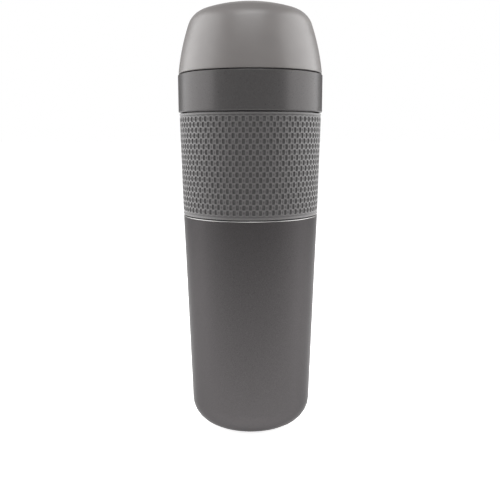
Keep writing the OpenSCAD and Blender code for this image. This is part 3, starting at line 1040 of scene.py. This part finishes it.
def cap_curve(inset):
    """The dome, as far inside its outer face as inset.

    It has a gently curved side, a tight shoulder and a shallow crown. Leans are in degrees, and each
    curve stops a little short of the next one, so that the outline is never doubled at their joint.
    """

    def along(centre, length, lean):
        a = math.radians(lean)
        return centre[0] + length * math.cos(a), centre[1] + length * math.sin(a)

    side_c = along((CAP_R, CAP_Z0), -CAP_SIDE_ARC, CAP_LEAN_FOOT)
    shoulder_c = along(side_c, CAP_SIDE_ARC - CAP_SHOULDER_ARC, CAP_LEAN_SHOULDER)
    crown_start_r = along(shoulder_c, CAP_SHOULDER_ARC, CAP_LEAN_CROWN)[0]
    crown_arc = crown_start_r / math.cos(math.radians(CAP_LEAN_CROWN))
    crown_c = along(shoulder_c, CAP_SHOULDER_ARC - crown_arc, CAP_LEAN_CROWN)
    return (
        arc(side_c, CAP_SIDE_ARC - inset, CAP_LEAN_FOOT + 0.9, CAP_LEAN_SHOULDER - 0.4, 20)
        + arc(shoulder_c, CAP_SHOULDER_ARC - inset, CAP_LEAN_SHOULDER + 2, CAP_LEAN_CROWN - 2, 22)
        + arc((0.0, crown_c[1]), crown_arc - inset, CAP_LEAN_CROWN + 0.6, 90, 18)
    )


def cap_shell():
    """The outer dome."""
    foot = [(CAP_R - CAP_T, CAP_Z0, 0.3), (CAP_R, CAP_Z0, 0.5)]
    outline = rounded(foot + cap_curve(0) + cap_curve(CAP_T)[::-1], hold=0.5)
    piece = lathe("cap_outer_dome", outline, CAP_PLASTIC, "cap", "cap_shell", around=AROUND_LARGE)


def cap_liner():
    """The inner cap: a threaded sleeve with a flange, and a disc whose groove holds the seal."""
    sleeve_r = 32.5  # outer radius of the threaded sleeve
    flange_z1 = FLANGE_Z0 + 1.4
    chamfer_r, chamfer_z = 30.6, 198
    lip_z = DISC_Z0 - 1.2  # mouth of the groove
    thread_z = 190.4
    outline = rounded(
        [
            (THREAD_R, FLANGE_Z0, 0.3),
            (FLANGE_R, FLANGE_Z0, 0.3),
            (FLANGE_R, flange_z1, 0.3),
            (sleeve_r, flange_z1, 0.3),
            (sleeve_r, chamfer_z, 0.6),
            (chamfer_r, DISC_Z1, 0.6),
            (0, DISC_Z1),
            (0, DISC_Z0),
            (SEAL_IN_R - 1.3, DISC_Z0, 0.6),
            (SEAL_IN_R - 1.3, lip_z, 0.3),
            (SEAL_IN_R, lip_z, 0.2),
            (SEAL_IN_R, DISC_Z0),
            (SEAL_OUT_R, DISC_Z0),
            (SEAL_OUT_R, lip_z, 0.2),
            (THREAD_R, lip_z, 0.3),
        ]
    )
    warp = thread_warp(THREAD_R, -1.2, thread_z)
    outline = dense(outline, THREAD_R, thread_z - 2.9, count=39)
    piece = lathe("cap_threaded_liner", outline, CAP_INNER, "cap", "cap_liner", warp=warp)


def cap_seal():
    """The flat ring between the inner cap and the drinking rim."""
    inner_r, outer_r = SEAL_IN_R + SEAL_GAP, SEAL_OUT_R - SEAL_GAP
    z0, z1 = RIM_Z + 0.15, DISC_Z0 - SEAL_GAP
    corners = [(inner_r, z0, 0.5), (outer_r, z0, 0.5), (outer_r, z1, 0.2), (inner_r, z1, 0.2)]
    outline = rounded(corners, hold=0.1)
    lathe("cap_rim_seal", outline, SEAL_SILICONE, "cap_lifter", "cap_seal")


# ---- CAD nodes that keep their own shape ----

KEPT = {
    "base_plate": BARE_STEEL,
    "vacuum_seal": SEAL_METAL,
    "getter": SEAL_METAL,
    "heat_foil": FOIL,
    "stem_nut": BARE_STEEL,
}

for make in (
    outer_shell,
    inner_liner,
    base_pad,
    grip_sleeve,
    lid_gasket,
    lid_body,
    lid_skirt,
    lid_plug,
    lid_band,
    valve_guide,
    button_spring,
    button_seal,
    push_button,
    valve_stem,
    valve_plate,
    valve_seal,
    cap_shell,
    cap_liner,
    cap_seal,
):
    make()

for node, material in KEPT.items():
    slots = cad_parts[node].data.materials
    slots.clear()
    slots.append(material)


# ---- floor, light and camera ----


def floor():
    """A floor that glows to stay white to the camera, with a faint painted contact shadow where that glow
    dims close to the mug. It casts less light on the mug from in front.
    """
    half = 20.0  # half the floor's width, in metres
    drop = 0.05 * MM  # keeps the floor clear of the pad's face
    corners = [(-half, -half, 0), (half, -half, 0), (half, half, 0), (-half, half, 0)]
    mesh = bpy.data.meshes.new("floor")
    mesh.from_pydata(corners, [], [(0, 1, 2, 3)])
    ground = bpy.data.objects.new("floor", mesh)
    ground.location = (0, 0, -drop)
    bpy.context.scene.collection.objects.link(ground)
    paper, shader = new_material(
        "pale_floor",
        Base_Color=(0.9, 0.9, 0.9, 1),
        Roughness=0.9,
        Specular_IOR_Level=0.1,
        Emission_Strength=1.0,
    )
    place = add(paper, "ShaderNodeTexCoord")
    axes = add(paper, "ShaderNodeSeparateXYZ")
    link(paper, place.outputs["Object"], axes.inputs["Vector"])
    # glow on the mug: none from far in front, full from beside and behind
    reach = map_range(paper, axes.outputs["Y"], from_min=-0.5, from_max=1.5)
    cast = add(paper, "ShaderNodeValToRGB")
    link(paper, reach.outputs["Result"], cast.inputs["Fac"])
    stops = cast.color_ramp.elements
    stops[0].position = 0.05
    stops[0].color = (0, 0, 0, 1)
    stops[1].position = 0.185
    stops[1].color = (0.6, 0.6, 0.6, 1)
    stops.new(0.24).color = (1.25, 1.25, 1.25, 1)
    # glow to the camera: a little less close to the mug, a painted contact shadow
    length = add(paper, "ShaderNodeVectorMath", operation="LENGTH")
    link(paper, place.outputs["Object"], length.inputs[0])
    seen = map_range(paper, length.outputs["Value"], from_min=0.03, from_max=0.2, to_min=0.85)
    path = add(paper, "ShaderNodeLightPath")
    choice = map_range(paper, path.outputs["Is Camera Ray"])
    link(paper, cast.outputs["Color"], choice.inputs["To Min"])
    link(paper, seen.outputs["Result"], choice.inputs["To Max"])
    link(paper, choice.outputs["Result"], shader.inputs["Emission Color"])
    mesh.materials.append(paper)


def area_light(name, place, target, size, power):
    """A softbox at a place in metres, turned to a target. The camera doesn't see it."""
    lamp = bpy.data.lights.new(name, "AREA")
    lamp.shape = "RECTANGLE"
    lamp.size, lamp.size_y = size
    lamp.energy = power
    holder = bpy.data.objects.new(name, lamp)
    holder.location = place
    holder.rotation_euler = (Vector(target) - Vector(place)).to_track_quat("-Z", "Y").to_euler()
    holder.visible_camera = False
    bpy.context.scene.collection.objects.link(holder)


def world_light(seen, cast):
    """A pale surround: one brightness where the camera sees it, another as light on the object."""
    world = bpy.data.worlds.new("studio")
    world.use_nodes = True
    background = world.node_tree.nodes["Background"]
    background.inputs["Color"].default_value = (1, 1, 1, 1)
    path = add(world, "ShaderNodeLightPath")
    level = map_range(world, path.outputs["Is Camera Ray"], to_min=cast, to_max=seen)
    link(world, level.outputs["Result"], background.inputs["Strength"])
    bpy.context.scene.world = world


def camera():
    """A camera in front of the mug, level with the upper grip and looking a little down."""
    lens = bpy.data.cameras.new("camera")
    lens.sensor_width = 36
    lens.lens = 47.9
    lens.dof.use_dof = False
    holder = bpy.data.objects.new("camera", lens)
    holder.location = (-0.0003, -0.351, 0.1532)
    holder.rotation_mode = "ZXY"
    holder.rotation_euler = (math.radians(80.36), 0, math.radians(-0.12))
    bpy.context.scene.collection.objects.link(holder)
    bpy.context.scene.camera = holder


floor()
world_light(seen=1.0, cast=0.14)
for name, side in (("left_softbox", -1), ("right_softbox", 1)):
    area_light(name, (side * 0.55, 0.05, 0.49), (0, 0.05, 0.49), (0.8, 0.7), 7.5)
area_light("back_softbox", (0, 0.7, 0.62), (0, 0, 0.2), (0.9, 0.35), 0.45)
area_light("top_softbox", (0, -0.31, 0.7), (0, 0, 0.15), (0.4, 0.3), 3.2)
camera()
bpy.context.scene.view_settings.view_transform = "Standard"
